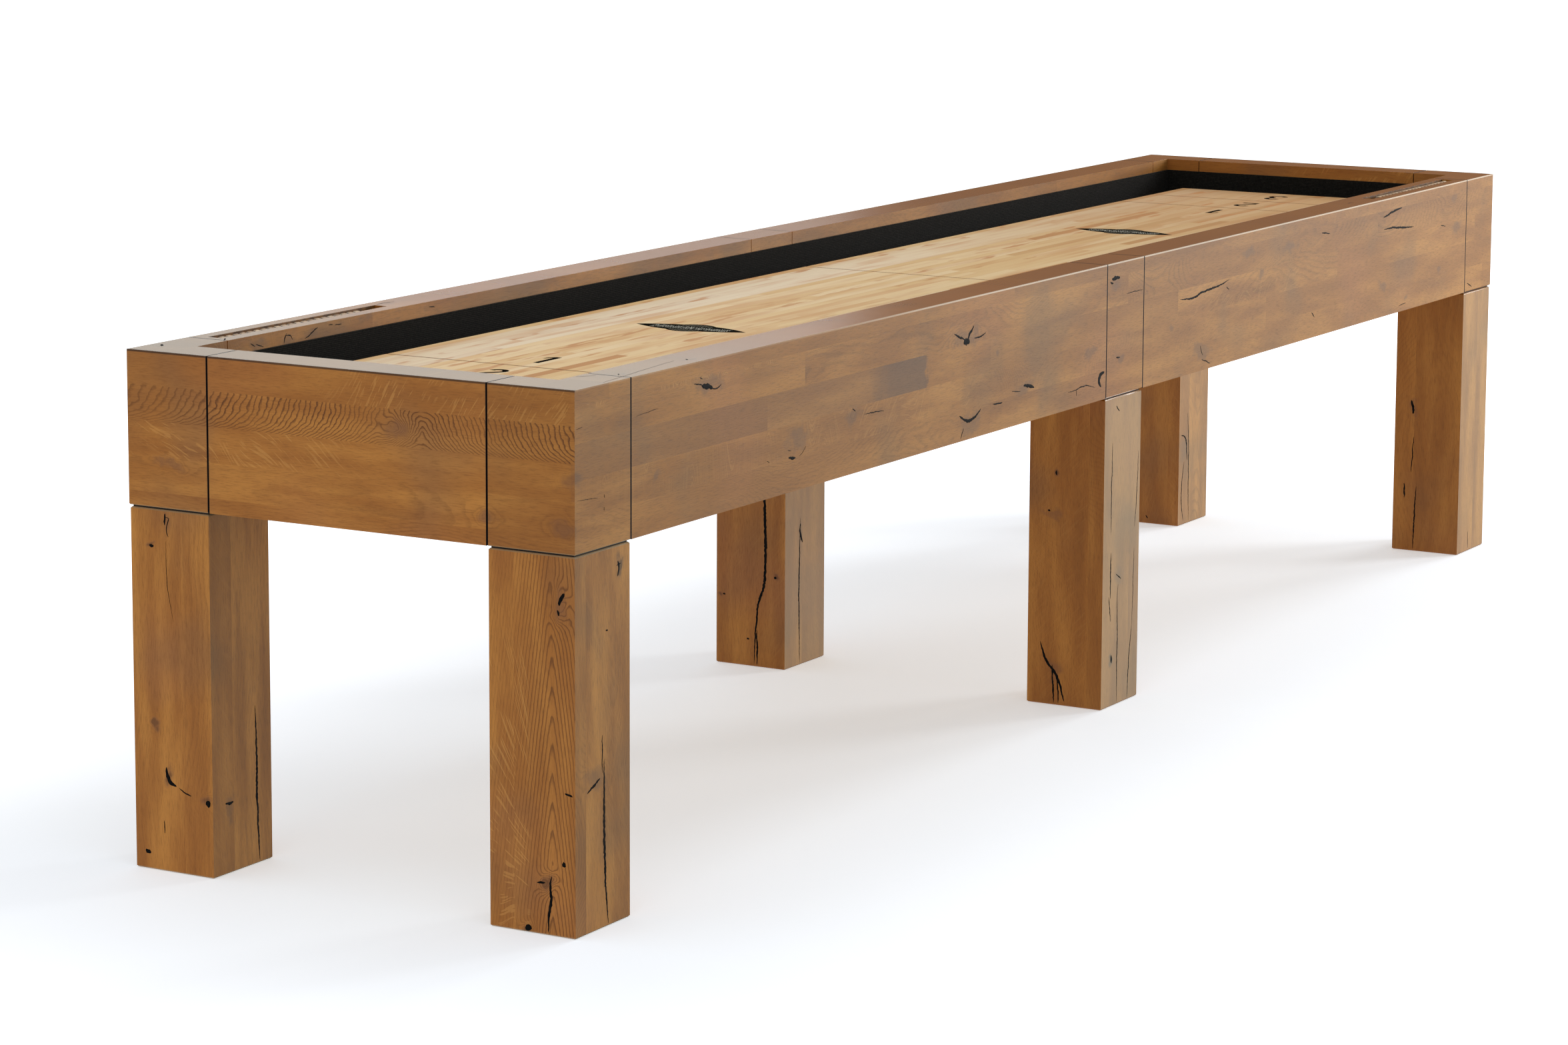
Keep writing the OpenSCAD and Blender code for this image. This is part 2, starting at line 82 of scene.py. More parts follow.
def add_light(name, place, target, size, watts):
    """A soft rectangular light at place, looking at target."""
    data = bpy.data.lights.new(name, "AREA")
    data.shape, data.size, data.size_y = "RECTANGLE", size[0], size[1]
    data.energy = watts
    lamp = add_object(name, data)
    lamp.location = place
    lamp.visible_camera = False
    lamp.rotation_euler = (Vector(target) - Vector(place)).to_track_quat("-Z", "Y").to_euler()


# ---------------------------------------------------------------- node helpers


class Net:
    """A short way to write shader nodes: every call adds nodes and gives the last one's output socket."""

    def __init__(self, tree):
        self.tree = tree

    def put(self, socket, value):
        if isinstance(value, bpy.types.NodeSocket):
            self.tree.links.new(value, socket)
        else:
            socket.default_value = value

    def add(self, kind, values, out=0, **props):
        node = self.tree.nodes.new(kind)
        for key, value in props.items():
            setattr(node, key, value)
        for key, value in values.items() if isinstance(values, dict) else enumerate(values):
            self.put(node.inputs[key], value)
        return node.outputs[out]

    def group(self, tree, *values):
        """A node group's outputs, with the given values on its inputs."""
        node = self.tree.nodes.new("ShaderNodeGroup")
        node.node_tree = tree
        for socket, value in zip(node.inputs, values):
            self.put(socket, value)
        return node.outputs

    def math(self, op, *values):
        return self.add("ShaderNodeMath", values, operation=op)

    def plus(self, a, b):
        return self.math("ADD", a, b)

    def minus(self, a, b):
        return self.math("SUBTRACT", a, b)

    def over(self, a, b):
        return self.math("DIVIDE", a, b)

    def mad(self, a, b, c):
        """a times b, plus c."""
        return self.math("MULTIPLY_ADD", a, b, c)

    def times(self, first, *others):
        for other in others:
            first = self.math("MULTIPLY", first, other)
        return first

    def most(self, first, *others):
        for other in others:
            first = self.math("MAXIMUM", first, other)
        return first

    def absolute(self, a):
        return self.math("ABSOLUTE", a)

    def fract(self, a):
        return self.math("FRACT", a)

    def floor(self, a):
        return self.math("FLOOR", a)

    def sine(self, a):
        return self.math("SINE", a)

    def above(self, a, b):
        """1 where a is greater than b, 0 elsewhere."""
        return self.math("GREATER_THAN", a, b)

    def below(self, a, b):
        """1 where a is less than b, 0 elsewhere."""
        return self.math("LESS_THAN", a, b)

    def same(self, a, b, slack=0.5):
        """1 where a is within slack of b, 0 elsewhere."""
        return self.math("COMPARE", a, b, slack)

    def opposite(self, a):
        """1 where a is 0, and 0 where it is 1."""
        return self.math("SUBTRACT", 1.0, a)

    def vec(self, op, *values, out=0):
        return self.add("ShaderNodeVectorMath", values, out, operation=op)

    def xyz(self, x=0.0, y=0.0, z=0.0):
        return self.add("ShaderNodeCombineXYZ", (x, y, z))

    def split(self, vector):
        node = self.tree.nodes.new("ShaderNodeSeparateXYZ")
        self.put(node.inputs[0], vector)
        return node.outputs

    def length(self, x, y):
        return self.vec("LENGTH", self.xyz(x, y), out=1)

    def noise(self, vector, scale=1.0, detail=2.0, rough=0.5, distort=0.0):
        values = {"Vector": vector, "Scale": scale, "Detail": detail, "Roughness": rough,
                  "Distortion": distort}
        return self.add("ShaderNodeTexNoise", values)

    def noise1(self, w, scale):
        values = {"W": w, "Scale": scale, "Detail": 1.0}
        return self.add("ShaderNodeTexNoise", values, noise_dimensions="1D")

    def streaks(self, x, waves_x, y, waves_y, seed, seeds, detail=2.0, **settings):
        """Noise with so many waves in a metre along x and y, and its own pattern for each seed."""
        place = self.xyz(self.times(x, waves_x), self.times(y, waves_y), self.times(seed, seeds))
        return self.noise(place, 1.0, detail, **settings)

    def hash3(self, w):
        """Three random numbers from 0 to 1 for one number."""
        return self.split(self.add("ShaderNodeTexWhiteNoise", {"W": w}, 1, noise_dimensions="1D"))

    def smooth(self, value, low, high, to_low=0.0, to_high=1.0):
        """to_low up to low, to_high from high on, and an easy slope between them."""
        values = {"Value": value, 1: low, 2: high, 3: to_low, 4: to_high}
        return self.add("ShaderNodeMapRange", values, interpolation_type="SMOOTHSTEP")

    def blend(self, factor, a, b):
        """A number between a and b."""
        return self.add("ShaderNodeMix", {0: factor, 2: a, 3: b}, data_type="FLOAT")

    def paint(self, colour, *layers):
        """A colour with others laid over it, each given as how much of it shows and what it is."""
        for factor, over in layers:
            colour = self.add("ShaderNodeMix", {0: factor, 6: colour, 7: over}, 2, data_type="RGBA")
        return colour

    def ramp(self, factor, stops):
        node = self.tree.nodes.new("ShaderNodeValToRGB")
        ramp = node.color_ramp
        while len(ramp.elements) < len(stops):
            ramp.elements.new(0.5)
        for element, (at, colour) in zip(ramp.elements, stops):
            element.position, element.color = at, colour
        self.put(node.inputs[0], factor)
        return node.outputs[0]

    def bump(self, height, distance, strength):
        return self.add("ShaderNodeBump", {"Height": height, "Distance": distance, "Strength": strength})

    def point(self):
        """The surface point in its object's own coordinates, which no pose changes."""
        return self.add("ShaderNodeTexCoord", {}, 3)

    def facing(self, axis):
        """1 where the surface looks along that axis, either way."""
        normal = self.split(self.add("ShaderNodeNewGeometry", {}, 3))[axis]
        return self.above(self.absolute(normal), 0.7)

    def eased(self):
        """1 on the rounded edges."""
        normal = self.add("ShaderNodeNewGeometry", {}, 1)
        x, y, z = self.split(self.vec("ABSOLUTE", normal))
        return self.smooth(self.most(y, z, x), 0.90, 0.97, 1.0, 0.0)

    def near(self, value, place, core, reach):
        """1 within core of that place, falling to 0 at reach."""
        return self.smooth(self.absolute(self.minus(value, place)), core, reach, 1.0, 0.0)

    def finish(self, values):
        """The principled shader with those inputs, as the surface."""
        shader = self.tree.nodes.new("ShaderNodeBsdfPrincipled")
        for key, value in values.items():
            self.put(shader.inputs[key], value)
        out = self.tree.nodes.new("ShaderNodeOutputMaterial")
        self.tree.links.new(shader.outputs[0], out.inputs[0])


def rgb(red, green, blue):
    """An sRGB colour, 0 to 255, as Blender's linear one."""
    channels = (red, green, blue)
    return tuple(((c / 255 + 0.055) / 1.055) ** 2.4 if c > 10 else c / 255 / 12.92 for c in channels) + (1.0,)


def new_material(name):
    mat = bpy.data.materials.new(name)
    mat.use_nodes = True
    mat.node_tree.nodes.clear()
    return mat, Net(mat.node_tree)


# ---------------------------------------------------------------- oak


FIGURE_INPUTS = (
    "Along", "Across", "Deep", "Stave", "Push", "Bend", "Set", "Ruffle", "Vivid", "Flecks", "Lean", "Rise")
FIGURE_OUTPUTS = ("Ring", "Pore", "Fleck", "Tone", "Light", "Warm")
RING_PITCH = 0.0058
KNOT_PUSH = 0.034              # how far a knot pushes the rings aside


def figure_group():
    """The figure of one oak stave: growth rings, pores and medullary flecks.

    Where Set is 0 the rings go round a pith that wanders at random; where it is 1 they follow Bend, ruffled
    by Ruffle. Flecks lie along Lean and are stacked along Rise. All four are in metres.
    """
    group = bpy.data.node_groups.new("oak_figure", "ShaderNodeTree")
    for names, way in ((FIGURE_INPUTS, "INPUT"), (FIGURE_OUTPUTS, "OUTPUT")):
        for name in names:
            group.interface.new_socket(name, in_out=way, socket_type="NodeSocketFloat")
    net = Net(group)
    inputs = group.nodes.new("NodeGroupInput").outputs
    along, across, deep, stave, push, bend, fixed, ruffle, vivid, flecks, lean, rise, _ = inputs
    a, b, c = net.hash3(stave)
    d, e, f = net.hash3(net.plus(stave, 41.7))

    def grain(x, y, *noise, shift=None):
        """Noise with x waves in a metre along the grain and y across it."""
        depth = net.times(deep, y) if shift is None else net.times(shift, 50.0)
        return net.noise(net.xyz(net.times(along, x), net.times(across, y), depth), 1.0, *noise)

    # The pith's distance from the face and its drift along the stave make the cathedral figure
    drift_v = net.minus(net.noise1(net.mad(a, 90.0, along), 2.1), 0.5)
    drift_w = net.minus(net.noise1(net.mad(b, 90.0, along), 1.5), 0.5)
    wild = net.smooth(d, 0.45, 1.0, 0.10, 0.55)
    v = net.mad(drift_v, wild, net.mad(a, 0.08, net.plus(across, -0.04)))
    w = net.mad(drift_w, wild, net.mad(b, 0.08, net.plus(deep, 0.012)))
    # The distance from the pith is uneven at three scales, and knots push it out
    reach = net.blend(fixed, net.length(v, w), bend)
    reach = net.mad(grain(8.0, 26.0, 2.0, shift=c), net.blend(fixed, 0.016, ruffle), reach)
    reach = net.mad(grain(48.0, 62.0, 2.0), net.blend(fixed, 0.0018, ruffle), reach)
    reach = net.mad(grain(130.0, 260.0, 1.0), net.blend(fixed, 0.0016, 0.0010), reach)
    reach = net.mad(push, KNOT_PUSH, reach)
    # Each ring darkens towards its outside, and is broken up by the pores and by larger clouds
    turn = net.fract(net.over(reach, net.blend(fixed, net.mad(c, 0.005, 0.004), RING_PITCH)))
    ring = net.times(
        net.smooth(turn, net.blend(fixed, 0.42, 0.52), 0.86), net.smooth(turn, 0.90, 1.0, 1.0, 0.0),
        net.smooth(grain(150.0, 620.0, 1.0), 0.28, 0.62, net.blend(fixed, 0.45, 0.8), 1.0),
        net.smooth(grain(3.0, 14.0, 1.0, shift=d), 0.36, 0.62, net.blend(fixed, 0.30, 0.8), 1.0), vivid)
    pore = net.smooth(grain(52.0, 560.0, 3.0, 0.65), 0.46, 0.68)
    streak = net.streaks(lean, 22.0, rise, 280.0, e, 20.0, 1.0, distort=0.25)
    clouds = net.smooth(grain(9.0, 26.0, 1.0, shift=f), 0.38, 0.54)
    fleck = net.times(net.smooth(streak, 0.55, 0.62), clouds)
    fleck = net.add("ShaderNodeMath", (fleck, flecks), operation="MULTIPLY", use_clamp=True)
    tone = grain(3.2, 20.0, 3.0, 0.55, shift=f)
    out = group.nodes.new("NodeGroupOutput")
    for socket, value in zip(out.inputs, (ring, pore, fleck, tone, f, b)):
        net.put(socket, value)
    return group


def knot_group():
    """A soft blob round one knot: 1 at the middle, 0 outside."""
    group = bpy.data.node_groups.new("knot", "ShaderNodeTree")
    for name in ("Point", "Centre", "Size"):
        group.interface.new_socket(name, in_out="INPUT", socket_type="NodeSocketVector")
    group.interface.new_socket("Blob", in_out="OUTPUT", socket_type="NodeSocketFloat")
    net = Net(group)
    point, centre, size, _ = group.nodes.new("NodeGroupInput").outputs
    away = net.vec("DIVIDE", net.vec("SUBTRACT", point, centre), size)
    blob = net.math("EXPONENT", net.times(net.vec("DOT_PRODUCT", away, away, out=1), -1.0))
    net.put(group.nodes.new("NodeGroupOutput").inputs[0], blob)
    return group


# The wood itself, from pale to nearly black, then its patches, its flecks and its knots
OAK_LIGHT, OAK_MID = rgb(206, 141, 60), rgb(168, 106, 38)
OAK_DARK, OAK_DEEP = rgb(130, 78, 27), rgb(66, 34, 10)
OAK_GREY, OAK_PINK, OAK_PLUM = rgb(124, 92, 62), rgb(188, 118, 70), rgb(108, 76, 58)
OAK_FLECK, OAK_KNOT = rgb(218, 160, 82), rgb(40, 25, 14)
# Painted over the wood: a painted highlight on the long top edges, dark seams with painted shade, the tops'
# sage (painted sheen) and umber (a deeper stain with painted shade), the legs' painted sheen, the sides' ash
# (painted sheen) and the ends' amber (painted warmer where less sheen falls)
OAK_EDGE_HIGHLIGHT, SEAM_AND_SHADE_DARK = rgb(250, 232, 206), rgb(24, 14, 7)
OAK_SAGE, OAK_UMBER = rgb(172, 176, 152), rgb(164, 98, 14)
OAK_PAINTED_SHEEN, OAK_ASH, OAK_AMBER = rgb(202, 190, 160), rgb(118, 116, 76), rgb(206, 122, 30)
SIDE_ROUGH, END_ROUGH, TOP_ROUGH, EDGE_ROUGH = 0.36, 0.50, 0.26, 0.16
EYE_SIZE = 0.021               # only knots smaller than this have a dark middle


def oak(name, frame_of, knots, figure, knot):
    """An oak material.

    For a surface point, frame_of gives the figure group's inputs, less Push, and four masks: plum-coloured
    wood, a painted sheen, dark seams with painted shade, and a painted edge highlight.
    """
    mat, net = new_material(name)
    point = net.point()
    sway = net.add("ShaderNodeTexNoise", {"Vector": point, "Scale": 22.0}, 1)
    loose = net.vec("MULTIPLY_ADD", net.vec("SUBTRACT", sway, (0.5, 0.5, 0.5)), (0.04, 0.04, 0.04), point)
    push, eye = 0.0, 0.0
    for centre, size in knots:
        blob = net.group(knot, loose, centre, size)[0]
        push = net.plus(push, blob)
        if max(size) < EYE_SIZE:
            eye = net.plus(eye, blob)
    values, plum, painted_sheen, seam, edge_highlight = frame_of(net, point)
    ring, pore, fleck, tone, light, warm = net.group(figure, *values[:4], push, *values[4:])
    # The tops are rubbed smooth and their grain is filled
    is_end, is_top = net.facing(0), net.facing(2)
    filled = net.mad(is_top, -0.85, 1.0)
    ring, pore = net.times(ring, filled), net.times(pore, filled)
    ragged = net.mad(net.noise(point, 60.0, 3.0, 0.6), 1.3, -0.65)
    end_on = net.split(point)[0]
    colour = net.paint(
        OAK_LIGHT,
        (net.smooth(tone, 0.32, 0.62), OAK_MID),
        (net.smooth(tone, 0.55, 0.80, 0.0, 0.70), OAK_DARK),
        (net.times(light, 0.50), OAK_MID),
        (net.smooth(warm, 0.55, 1.0, 0.0, 0.26), OAK_DARK),
        (net.smooth(net.noise(point, 5.0, 2.0), 0.50, 0.74, 0.0, 0.50), OAK_GREY),
        (net.smooth(net.noise(point, 3.2, 1.0), 0.54, 0.72, 0.0, 0.28), OAK_PINK),
        (plum, OAK_PLUM),
        (net.times(ring, 0.85), OAK_DEEP),
        (net.times(pore, 0.30), OAK_DEEP),
        (net.times(fleck, 0.42), OAK_FLECK),
        (net.smooth(net.plus(push, ragged), 0.25, 0.95, 0.0, 0.50), OAK_PLUM),
        (net.smooth(net.plus(eye, ragged), 0.60, 0.95, 0.0, 0.55), OAK_KNOT),
        # Tops are painted umber, a deeper stain with painted shade growing away from the left end, and a
        # painted sage sheen near the left end
        (net.times(is_top, net.smooth(end_on, -1.7, 0.2, 0.40, 0.85)), OAK_UMBER),
        (net.times(is_top, net.smooth(end_on, -1.74, -1.0, 0.46, 0.0)), OAK_SAGE),
        # Long sides get a painted grey sheen
        (net.times(net.facing(1), 0.16), OAK_ASH),
        # Ends are painted warmer, where they catch less sheen
        (net.times(is_end, 0.18), OAK_AMBER),
        # A painted sheen on the legs' fronts, a painted highlight on the long top edges, and painted shade
        # with the dark seams
        (painted_sheen, OAK_PAINTED_SHEEN),
        (edge_highlight, OAK_EDGE_HIGHLIGHT),
        (seam, SEAM_AND_SHADE_DARK))
    texture = net.plus(ring, pore)
    rough = net.blend(is_top, net.blend(is_end, SIDE_ROUGH, END_ROUGH), TOP_ROUGH)
    rough = net.mad(texture, 0.06, rough)
    height = net.times(texture, -0.5, net.opposite(is_top))
    net.finish({"Base Color": colour, "Roughness": net.blend(net.eased(), rough, EDGE_ROUGH),
                "Specular IOR Level": 0.42, "Normal": net.bump(height, 0.00012, 0.6)})
    return mat


ROW = 0.055                    # height of the boards glued up into the rails
SIDE_ROWS, END_ROWS = 0.789, 0.760               # where the top row starts, on the long sides and on the ends
BUTT = 0.3345                  # on top, a corner's side piece ends and its end piece starts here
SEAM_CORE, SEAM_REACH = 0.0014, 0.0024
SEAM_INNER_Y, SEAM_INNER_X = 0.334, 1.757        # the seams run no further in over the tops than this
ON_FRONT = -0.4                # only the front face has a smaller y


def quiet_figure(net, stave):
    """How strongly an ordinary stave shows its rings and flecks, and its flecks' slant."""
    g, h, i = net.hash3(net.plus(stave, 17.3))
    return net.smooth(g, 0.50, 1.0, 0.10, 0.42), net.smooth(h, 0.60, 0.90, 0.0, 0.5), net.mad(i, 1.8, -0.9)


def slanted(net, along, across, slant):
    """Places along and across lines that lie at that angle to the grain."""
    cosine, sine = net.math("COSINE", slant), net.sine(slant)
    lean = net.mad(across, sine, net.times(along, cosine))
    return lean, net.minus(net.times(across, cosine), net.times(along, sine))


def rail_masks(net, x, y, z):
    """Where the rails are dark with seams and painted shade, and where their edges carry a painted highlight.
    """
    far_x, far_y = net.absolute(x), net.absolute(y)
    upright = net.most(net.near(far_x, BLOCK_SEAM, SEAM_CORE, SEAM_REACH),
                       net.near(far_x, MIDDLE_SEAM, SEAM_CORE, SEAM_REACH))
    upright = net.times(upright, net.above(far_y, SEAM_INNER_Y))
    cross = net.near(far_y, CROSS_SEAM, SEAM_CORE, SEAM_REACH)
    cross = net.times(cross, net.above(far_x, SEAM_INNER_X))
    # The ends' top edge is dark; the long sides' carries a painted highlight, stronger towards the right
    end_edge, side_edge = TOP + HALF_LENGTH, TOP + HALF_WIDTH
    end_rim = net.smooth(net.plus(z, far_x), end_edge - 0.0034, end_edge - 0.0026, 0.0, 0.75)
    side_rim = net.smooth(net.plus(z, far_y), side_edge - 0.0028, side_edge - 0.0018)
    edge_highlight = net.times(side_rim, net.smooth(x, -1.3, -0.5, 0.12, 0.66))
    # Painted shade on the scorers' long walls, broken up along them
    slot = net.times(net.facing(1), net.near(far_y, SCORER_Y, SCORER_HALF, SCORER_HALF + 0.0006),
                     net.above(far_x, 1.2), net.smooth(net.noise1(x, 42.0), 0.35, 0.65, 0.40, 0.75))
    # The left end's front block is a little darker than its neighbours
    block = net.times(net.below(y, -CROSS_SEAM), net.below(x, -BLOCK_SEAM),
                      net.blend(net.facing(0), net.blend(net.facing(1), 0.0, 0.05), 0.12))
    # The dark mask holds the seams, the ends' dark top edge, the darker block and the scorers' painted shade
    return net.most(upright, cross, end_rim, slot, block), edge_highlight


def rail_frame(net, point):
    """Grain along X on the long sides and along Y on the ends, in boards one row high and of many lengths."""
    x, y, z = net.split(point)
    end_top = net.times(net.below(net.absolute(y), BUTT), net.above(net.absolute(x), LEG_PITCH))
    is_end = net.most(net.facing(0), net.times(net.facing(2), end_top))
    along, deep = net.blend(is_end, x, y), net.blend(is_end, y, x)
    level = net.over(net.minus(z, net.blend(is_end, SIDE_ROWS, END_ROWS)), ROW)
    row = net.floor(level)
    across = net.times(net.minus(net.minus(level, row), 0.5), ROW)
    # The multipliers only keep the keys of different boards apart
    key = net.mad(net.math("SIGN", deep), 13.7, net.mad(is_end, 29.1, net.times(row, 7.31)))
    p, q, _ = net.hash3(key)
    length = net.mad(is_end, 9.0, net.mad(p, 0.8, 0.5))
    board = net.floor(net.mad(q, 5.0, net.over(along, length)))
    depth = net.minus(net.absolute(deep), net.blend(is_end, HALF_WIDTH, HALF_LENGTH))
    stave = net.mad(board, 3.77, key)
    rings, flecks, slant = quiet_figure(net, stave)
    # The ends' second board is cut across wild grain: steep rings that sweep outwards along its lower edge
    upper, second, third = (net.times(is_end, net.same(row, n)) for n in (0.0, -1.0, -2.0))
    sweep = net.math("EXPONENT", net.over(net.plus(across, 0.5 * ROW), -0.018))
    off = net.length(net.plus(y, 0.14), net.times(net.minus(z, 0.728), 0.8))
    bend = net.mad(sweep, -0.030, net.times(off, net.mad(off, -0.45, 0.80)))
    rings = net.blend(second, rings, net.smooth(net.noise(point, 7.0, 2.0), 0.36, 0.60, 0.7, 1.3))
    rings = net.most(rings, net.times(is_end, net.below(row, -2.5), 0.32))
    # Its neighbours are cut the other way and show slanting flecks
    flecks = net.blend(upper, flecks, net.smooth(y, 0.10, -0.10))
    flecks = net.blend(third, flecks, net.smooth(y, -0.08, 0.08))
    flecks = net.times(flecks, net.opposite(second))
    slant = net.blend(third, net.blend(upper, slant, -0.98), 0.64)
    # Long pale flecks run nearly level along the top of the front's second board, and arch in its lowest
    front, left = net.times(net.below(y, ON_FRONT), net.opposite(is_end)), net.smooth(x, -1.05, -1.25)
    upper_half = net.smooth(across, -0.012, 0.022)
    nearly_level = net.times(front, net.same(row, -1.0), left, upper_half)
    arched = net.times(front, net.same(row, -3.0), left)
    flecks = net.blend(nearly_level, net.blend(arched, flecks, 0.55), 0.9)
    slant = net.blend(arched, slant, net.times(net.sine(net.times(x, 26.0)), 0.5))
    slant = net.blend(nearly_level, slant, -0.10)
    slant = net.mad(net.noise1(along, 6.0), 0.5, net.plus(slant, -0.25))
    lean, rise = slanted(net, along, across, slant)
    # One board of the front's third row is plum-coloured, with a torn right end
    torn = net.mad(net.noise(point, 30.0, 3.0), 0.09, x)
    plum = net.times(net.below(y, ON_FRONT), net.same(row, -2.0),
                     net.smooth(torn, -0.715, -0.700, 0.75, 0.0), net.smooth(torn, -0.93, -0.82, 0.3, 1.0))
    seam, edge_highlight = rail_masks(net, x, y, z)
    ruffle = 0.0085
    figure = (along, across, depth, stave, bend, second, ruffle, rings, flecks, lean, rise)
    return figure, plum, 0.0, seam, edge_highlight


def leg_frame(net, point):
    """Grain upright, each face of a leg in one or two boards."""
    x, y, z = net.split(point)
    column, side = net.math("ROUND", net.over(x, LEG_PITCH)), net.math("SIGN", y)
    is_side, is_front = net.facing(0), net.facing(1)
    local_x = net.minus(x, net.times(column, LEG_PITCH))
    local_y = net.minus(y, net.times(side, LEG_Y))
    across, deep = net.blend(is_side, local_x, local_y), net.blend(is_side, local_y, local_x)
    key = net.mad(column, 11.3, net.mad(side, 5.9, net.times(is_side, 3.1)))
    key = net.mad(net.math("SIGN", deep), 1.7, key)
    split = net.mad(net.hash3(key)[0], 0.10, -0.05)
    depth = net.minus(net.absolute(deep), HALF_LEG * MM)
    stave = net.mad(net.above(across, split), 4.3, key)
    rings, flecks, slant = quiet_figure(net, stave)
    # The near front leg's outward face has a tall cathedral, with flecks fanning out of the foot beside it
    tall = net.times(is_side, net.below(y, 0.0), net.below(x, -1.80))
    off = net.plus(across, 0.035)
    bend = net.mad(z, 0.135, net.length(off, 0.005))
    rings = net.blend(tall, rings, net.smooth(net.absolute(off), 0.02, 0.08, 1.0, 0.30))
    fan = net.times(net.smooth(across, 0.0, 0.022), net.smooth(z, 0.34, 0.46, 1.0, 0.0), 3.0)
    flecks = net.blend(tall, net.times(flecks, 0.4), fan)
    lean, rise = slanted(net, z, across, slant)
    inset = net.minus(0.072, across)
    root = net.over(net.mad(inset, -0.28, z), net.mad(inset, -7.0, 1.0))
    root = net.mad(net.sine(net.times(inset, 110.0)), net.smooth(z, 0.03, 0.12, 0.006, 0.0), root)
    lean, rise = net.blend(tall, lean, inset), net.blend(tall, rise, net.times(root, 0.42))
    # The front faces get a painted sheen from the middle on; inward sides and the near back leg get painted
    # shade, which is laid on with the dark seams
    painted_sheen = net.times(is_front, net.below(local_y, 0.0), net.smooth(x, -1.2, -0.2, 0.0, 0.28),
                      net.smooth(x, 0.8, 1.4, 1.0, 0.6))
    shade = net.most(net.times(is_side, net.above(x, -1.6), 0.15),
                     net.times(is_front, net.below(x, -1.6), net.above(y, 0.2), 0.16))
    ruffle = net.blend(tall, 0.0062, 0.0016)
    figure = (z, across, depth, stave, bend, tall, ruffle, rings, flecks, lean, rise)
    return figure, 0.0, painted_sheen, shade, 0.0


# ---------------------------------------------------------------- the other materials

STRIP, STRIP_START = 0.02142, -0.257     # the playfield strips' width, and the front edge of the first
MAPLE_TONES = [(0.0, rgb(247, 218, 170)), (0.5, rgb(242, 208, 152)), (0.86, rgb(234, 195, 134)),
               (0.93, rgb(208, 156, 92)), (1.0, rgb(200, 140, 76))]


def maple():
    """Edge-glued maple strips, each a row of random staves, under a clear satin finish."""
    mat, net = new_material("maple_strips")
    x, y, _ = net.split(net.point())
    level = net.over(net.minus(y, STRIP_START), STRIP)
    strip = net.floor(level)
    a, b, _ = net.hash3(net.mad(strip, 3.17, 2.0))
    stave = net.floor(net.mad(b, 9.0, net.over(x, net.mad(a, 0.6, 0.45))))
    c, d, e = net.hash3(net.mad(stave, 7.77, net.times(strip, 1.31)))
    cloud = net.streaks(x, 3.0, y, 22.0, d, 50.0)
    flame = net.streaks(x, 11.0, y, 60.0, e, 50.0)
    grain = net.streaks(x, 12.0, y, 420.0, e, 30.0)
    joint = net.absolute(net.minus(net.minus(level, strip), 0.5))
    colour = net.paint(
        net.ramp(c, MAPLE_TONES),
        # One wide run of sapwood along the back half keeps nearly white, and fades towards the right
        (net.times(net.same(strip, 20.0, 2.6), net.smooth(x, -0.3, 0.9, 0.85, 0.25)), rgb(246, 226, 194)),
        (net.smooth(cloud, 0.44, 0.72, 0.0, 0.55), rgb(214, 152, 88)),
        # Painted shade: the far end is painted darker, towards orange, where less sheen falls
        (net.smooth(x, 0.1, 1.7, 0.0, 0.55), rgb(186, 132, 80)),
        (net.times(net.smooth(flame, 0.52, 0.68, 0.0, 0.80), net.smooth(d, 0.60, 0.85)), rgb(204, 136, 72)),
        (net.smooth(grain, 0.45, 0.75, 0.0, 0.14), rgb(196, 142, 84)),
        (net.smooth(joint, 0.475, 0.5, 0.0, 0.25), rgb(170, 112, 60)))
    net.finish({"Base Color": colour, "Roughness": 0.52, "Specular IOR Level": 0.22,
                "Normal": net.bump(grain, 0.00008, 0.4)})
    return mat


RIB = 0.0032                   # from one rib of the carpet to the next
CARPET_TONES = [(0.25, rgb(10, 10, 9)), (0.55, rgb(23, 22, 19)), (0.85, rgb(52, 50, 45))]


def carpet():
    """Black needled carpet with fine level ribs."""
    mat, net = new_material("ribbed_carpet")
    point = net.point()
    rib = net.sine(net.times(net.split(point)[2], 2 * math.pi / RIB))
    fuzz, tuft = net.noise(point, 900.0, 2.0, 0.7), net.noise(point, 260.0, 2.0)
    shade = net.mad(fuzz, 0.6, net.times(tuft, 0.5))
    colour = net.ramp(net.mad(rib, 0.10, shade), CARPET_TONES)
    net.finish({"Base Color": colour, "Roughness": 0.95, "Specular IOR Level": 0.12, "Sheen Weight": 0.02,
                "Sheen Roughness": 0.6, "Normal": net.bump(net.mad(rib, 0.5, fuzz), 0.0006, 0.8)})
    return mat


def speckled(name, low, high, scale, rough, metal=0.0, stretch=(1, 1, 1), depth=0.0001, shine=0.5):
    """A material with two tones mixed by stretched noise, which also drives its roughness and bump."""
    mat, net = new_material(name)
    point = net.vec("MULTIPLY", net.point(), stretch)
    grain = net.noise(point, scale, 4.0, 0.6)
    broad = net.noise(point, scale * 0.12, 2.0)
    mixed = net.mad(grain, 0.7, net.times(broad, 0.3))
    colour = net.paint(low, (net.smooth(mixed, 0.35, 0.65), high))
    net.finish({"Base Color": colour, "Roughness": net.mad(grain, 0.16, rough - 0.08), "Metallic": metal,
                "Specular IOR Level": shine, "Normal": net.bump(grain, depth, 0.5)})
    return mat


BEAD_PITCH, FIRST_BEAD = 0.0179, 1.648


